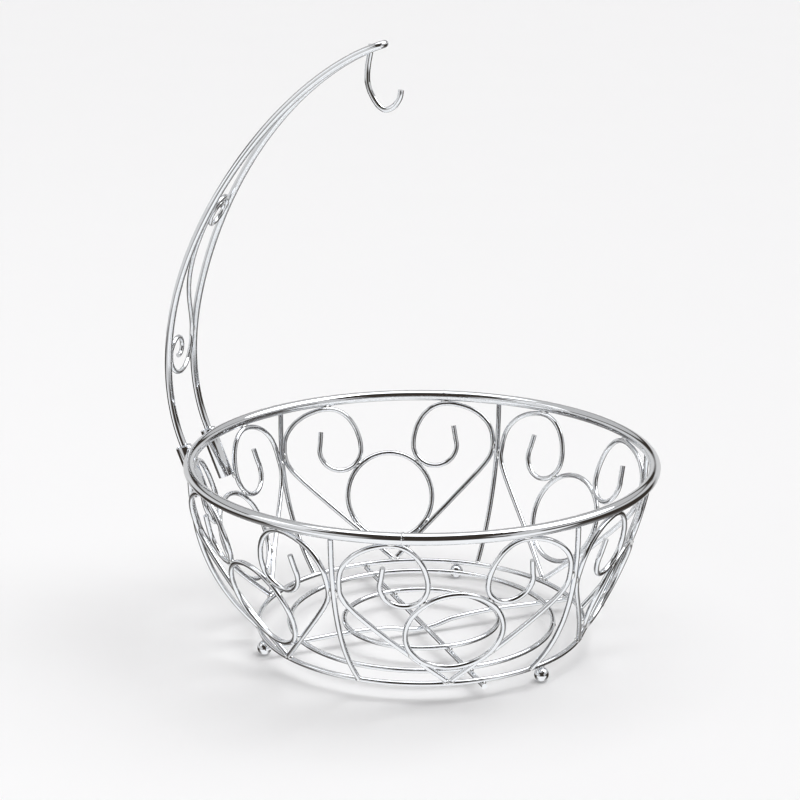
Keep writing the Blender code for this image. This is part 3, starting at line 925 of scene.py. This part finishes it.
def wall_beads():
    """Beads of each panel: at its strut, the rim, the ring and the base ring."""
    rim, rim_radius = level_circle("rim_ring")
    base, base_radius = level_circle("base_ring")
    for number in range(1, PANELS + 1):
        beads = []
        strut, radius = centre_line(f"strut_{number}")
        strut_next = centre_line(f"strut_{number % PANELS + 1}")[0]
        ring = oval_line(f"panel_ring_{number}", radius)
        beads.append(add_bead("strut_on_rim", contact(strut, rim), radius, rim_radius))
        beads.append(add_bead("strut_on_base", contact(strut, base), radius, base_radius))
        for side, post in (("left", strut), ("right", strut_next)):
            scroll = sorted_down(centre_line(f"scroll_{side}_{number}")[0])
            # The curl and the loop take up the upper two thirds of a scroll
            split = len(scroll) * 2 // 3
            curl, tail, foot = scroll[:split], scroll[split:-1], scroll[-2:]
            beads.append(add_bead("scroll_on_strut", contact(scroll, post), radius, radius))
            beads.append(add_bead("scroll_on_rim", contact(scroll, rim), radius, rim_radius))
            beads.append(add_bead("curl_on_ring", contact(curl, ring), radius, radius))
            beads.append(add_bead("tail_on_ring", contact(tail, ring), radius, radius))
            beads.append(add_bead("tail_on_base", contact(foot, base), radius, base_radius))
        join_beads(beads, f"weld_beads_panel_{number}", "wire", "bowl")


def floor_beads():
    """Beads where the cross wires pass under the rings, and on the feet."""
    beads = []
    for place in ("upper", "lower"):
        line, radius = centre_line(f"cross_wire_{place}")
        run = line[-1] - line[0]
        stations = [line[0] + run * step / CROSS_STEPS for step in range(CROSS_STEPS + 1)]
        middle = CROSS_STEPS // 2
        for half in (stations[:middle], stations[middle + 1:]):
            for node in ("base_ring", "floor_ring_outer", "floor_ring_inner"):
                circle, ring_radius = level_circle(node)
                touch = contact(half, circle)
                beads.append(add_bead("cross_wire_on_ring", touch, radius, ring_radius))
    base, base_radius = level_circle("base_ring")
    for number in range(1, FEET + 1):
        low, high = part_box(f"foot_{number}")
        top = Vector(((low.x + high.x) / 2, (low.y + high.y) / 2, high.z))
        spot, way = nearest_on(base, top)[1:]
        touch = (top, spot, way, way)
        beads.append(add_bead("foot_on_base", touch, base_radius * FOOT_BEAD_SHARE, base_radius))
    join_beads(beads, "weld_beads_floor", "wire", "bowl")


def socket_beads():
    """Beads that hold the sockets to the rim and to the scroll behind them."""
    beads = []
    rim, rim_radius = level_circle("rim_ring")
    for place in ("front", "rear"):
        centre, lift, length, outer = socket_sizes(f"socket_{place}")[:4]
        axis = [centre, centre + lift * length]
        point, spot, way = contact(rim, axis)[:3]
        touch = (point, spot, way, way)
        beads.append(add_bead("socket_on_rim", touch, rim_radius, outer, SOCKET_BEAD_DEPTH))
    scroll, radius = centre_line("scroll_left_5")
    beads.append(add_bead("scroll_on_socket", contact(scroll, axis), radius, outer))
    join_beads(beads, "weld_beads_sockets", "sockets", "bowl")


def hanger_beads():
    """Beads where the scroll and the hook meet the hanger's legs."""
    beads = []
    legs, leg_radius = centre_line("hanger_frame")
    scroll, scroll_radius = centre_line("hanger_scroll")
    hook, hook_radius = centre_line("hanger_hook")
    scroll = sorted_down(scroll)
    half = len(legs) // 2
    front, rear = sorted((legs[:half], legs[half:]), key=lambda leg: leg[0].y + leg[-1].y)
    upper, lower = scroll[:len(scroll) // 2], scroll[len(scroll) // 2:]
    for stretch, leg in ((upper, rear), (lower, rear), (lower, front)):
        touch = contact(stretch, leg)
        beads.append(add_bead("scroll_on_leg", touch, scroll_radius, leg_radius))
    for leg in (front, rear):
        beads.append(add_bead("hook_on_leg", contact(hook, leg), hook_radius, leg_radius))
    join_beads(beads, "weld_beads_hanger", "hanger", "hanger")


class BOWL_OT_stage(bpy.types.Operator):
    """Makes the pale floor, the soft studio light and the camera."""

    bl_idname = "bowl.stage"
    bl_label = "Stage"

    def execute(self, context):
        stage = context.scene.stage_settings
        make_floor(stage)
        make_surround(stage)
        make_lights(stage)
        make_camera(context)
        context.scene.view_settings.view_transform = "Standard"
        return {"FINISHED"}


def make_floor(stage):
    """Pale floor under the feet."""
    start_alone()
    bpy.ops.mesh.primitive_plane_add(size=2 * FLOOR_HALF)
    floor = bpy.context.object
    floor.name = "pale_floor"
    paint = bpy.data.materials.new("pale_floor_paint")
    paint.use_nodes = True
    look = Look(paint.node_tree)
    shader = look.tree.nodes["Principled BSDF"]
    point = look.node("ShaderNodeTexCoord").outputs["Object"]
    clouds = look.noise(point, FLOOR_CLOUDS, CLOUD_DETAIL)
    shade = solid(stage.floor_colour, FLOOR_SHADE)
    look.feed(shader.inputs["Base Color"], look.mix(clouds, shade, solid(stage.floor_colour)))
    shader.inputs["Roughness"].default_value = FLOOR_ROUGHNESS
    shader.inputs["Specular IOR Level"].default_value = FLOOR_SHEEN
    floor.data.materials.append(paint)
    floor.visible_glossy = False


def lit_zone(look, ways, strength, *edges):
    """Zone of light with soft edges."""
    light = strength
    for way, start, full in edges:
        light = look.ease(ways[way], start, full) * light
    return light


def make_surround(stage):
    """Soft light from overhead and from the floor, with unlit walls that the chrome mirrors."""
    world = bpy.data.worlds.new("studio_surround")
    bpy.context.scene.world = world
    world.use_nodes = True
    look = Look(world.node_tree)
    background = look.tree.nodes["Background"]
    point = look.node("ShaderNodeTexCoord").outputs["Generated"]
    parts = look.node("ShaderNodeSeparateXYZ", None, {"Vector": point}).outputs
    east, north = Number(look, parts["X"]), Number(look, parts["Y"])
    ways = {
        "up": Number(look, parts["Z"]),
        "away": east * AWAY.x + north * AWAY.y,
        "across": east * AWAY.y - north * AWAY.x,
    }
    zone = {name: lit_zone(look, ways, *shape) for name, shape in ZONES.items()}
    far = (zone["ceiling_edge"] + zone["ceiling"]).larger(zone["floor_edge"] + zone["floor_middle"])
    far = far.larger(zone["far_wall"])
    near = zone["near_ceiling"].larger(zone["near_floor"]).larger(zone["near_card"])
    light = far + (near - far) * zone["near_side"]
    light = light.larger(zone["left_card"]).larger(zone["right_card"])
    lit = (1.0, 1.0, 1.0, 1.0)
    look.feed(background.inputs["Color"], look.mix(light, solid(stage.room_colour), lit))
    background.inputs["Strength"].default_value = stage.world_strength


def make_lights(stage):
    """A broad even light from above, and a soft one at the side."""
    lights = (
        ("SUN", "key_light", KEY_PLACE, stage.key_strength),
        ("AREA", "fill_softbox", FILL_PLACE, stage.fill_power),
    )
    for kind, name, place, power in lights:
        start_alone()
        bpy.ops.object.light_add(type=kind, location=place)
        light = bpy.context.object
        light.name = name
        light.data.energy = power
        if kind == "SUN":
            light.data.angle = KEY_SPREAD
        else:
            light.data.shape = "SQUARE"
            light.data.size = FILL_SIZE
        aim = LIGHT_AIM - place
        light.rotation_euler = aim.to_track_quat("-Z", "Y").to_euler()


def make_camera(context):
    """Camera at the photograph's place and angle."""
    start_alone()
    bpy.ops.object.camera_add(location=CAMERA_PLACE)
    camera = bpy.context.object
    camera.rotation_euler = CAMERA_AIM.to_track_quat("-Z", "Y").to_euler()
    camera.data.lens = CAMERA_LENS
    camera.data.sensor_width = CAMERA_SENSOR
    camera.data.clip_end = CLIP_FAR
    context.scene.camera = camera


class BOWL_PT_build(bpy.types.Panel):
    """Lists the bowl's settings and pieces."""

    bl_label = "Fruit Bowl"
    bl_idname = "BOWL_PT_build"
    bl_space_type = "VIEW_3D"
    bl_region_type = "UI"
    bl_category = "Fruit Bowl"

    def draw(self, context):
        layout = self.layout
        for group in (context.scene.bowl_settings, context.scene.stage_settings):
            box = layout.box()
            for name in group.__annotations__:
                box.prop(group, name)
        for operator in OPERATORS:
            layout.operator(operator.bl_idname)


OPERATORS = (
    BOWL_OT_level_rings,
    BOWL_OT_wall,
    BOWL_OT_cross_wires,
    BOWL_OT_feet,
    BOWL_OT_sockets,
    BOWL_OT_hanger,
    BOWL_OT_weld_beads,
    BOWL_OT_stage,
)
CLASSES = (BowlSettings, StageSettings) + OPERATORS + (BOWL_PT_build,)


def register():
    """Registers the classes and the scene's settings."""
    for item in CLASSES:
        bpy.utils.register_class(item)
    bpy.types.Scene.bowl_settings = bpy.props.PointerProperty(type=BowlSettings)
    bpy.types.Scene.stage_settings = bpy.props.PointerProperty(type=StageSettings)


def unregister():
    """Removes the settings and the classes."""
    del bpy.types.Scene.stage_settings
    del bpy.types.Scene.bowl_settings
    for item in reversed(CLASSES):
        bpy.utils.unregister_class(item)


def main():
    """Makes every piece and the stage."""
    register()
    bpy.ops.bowl.level_rings()
    bpy.ops.bowl.wall()
    bpy.ops.bowl.cross_wires()
    bpy.ops.bowl.feet()
    bpy.ops.bowl.sockets()
    bpy.ops.bowl.hanger()
    bpy.ops.bowl.weld_beads()
    bpy.ops.bowl.stage()


if __name__ == "__main__":
    main()
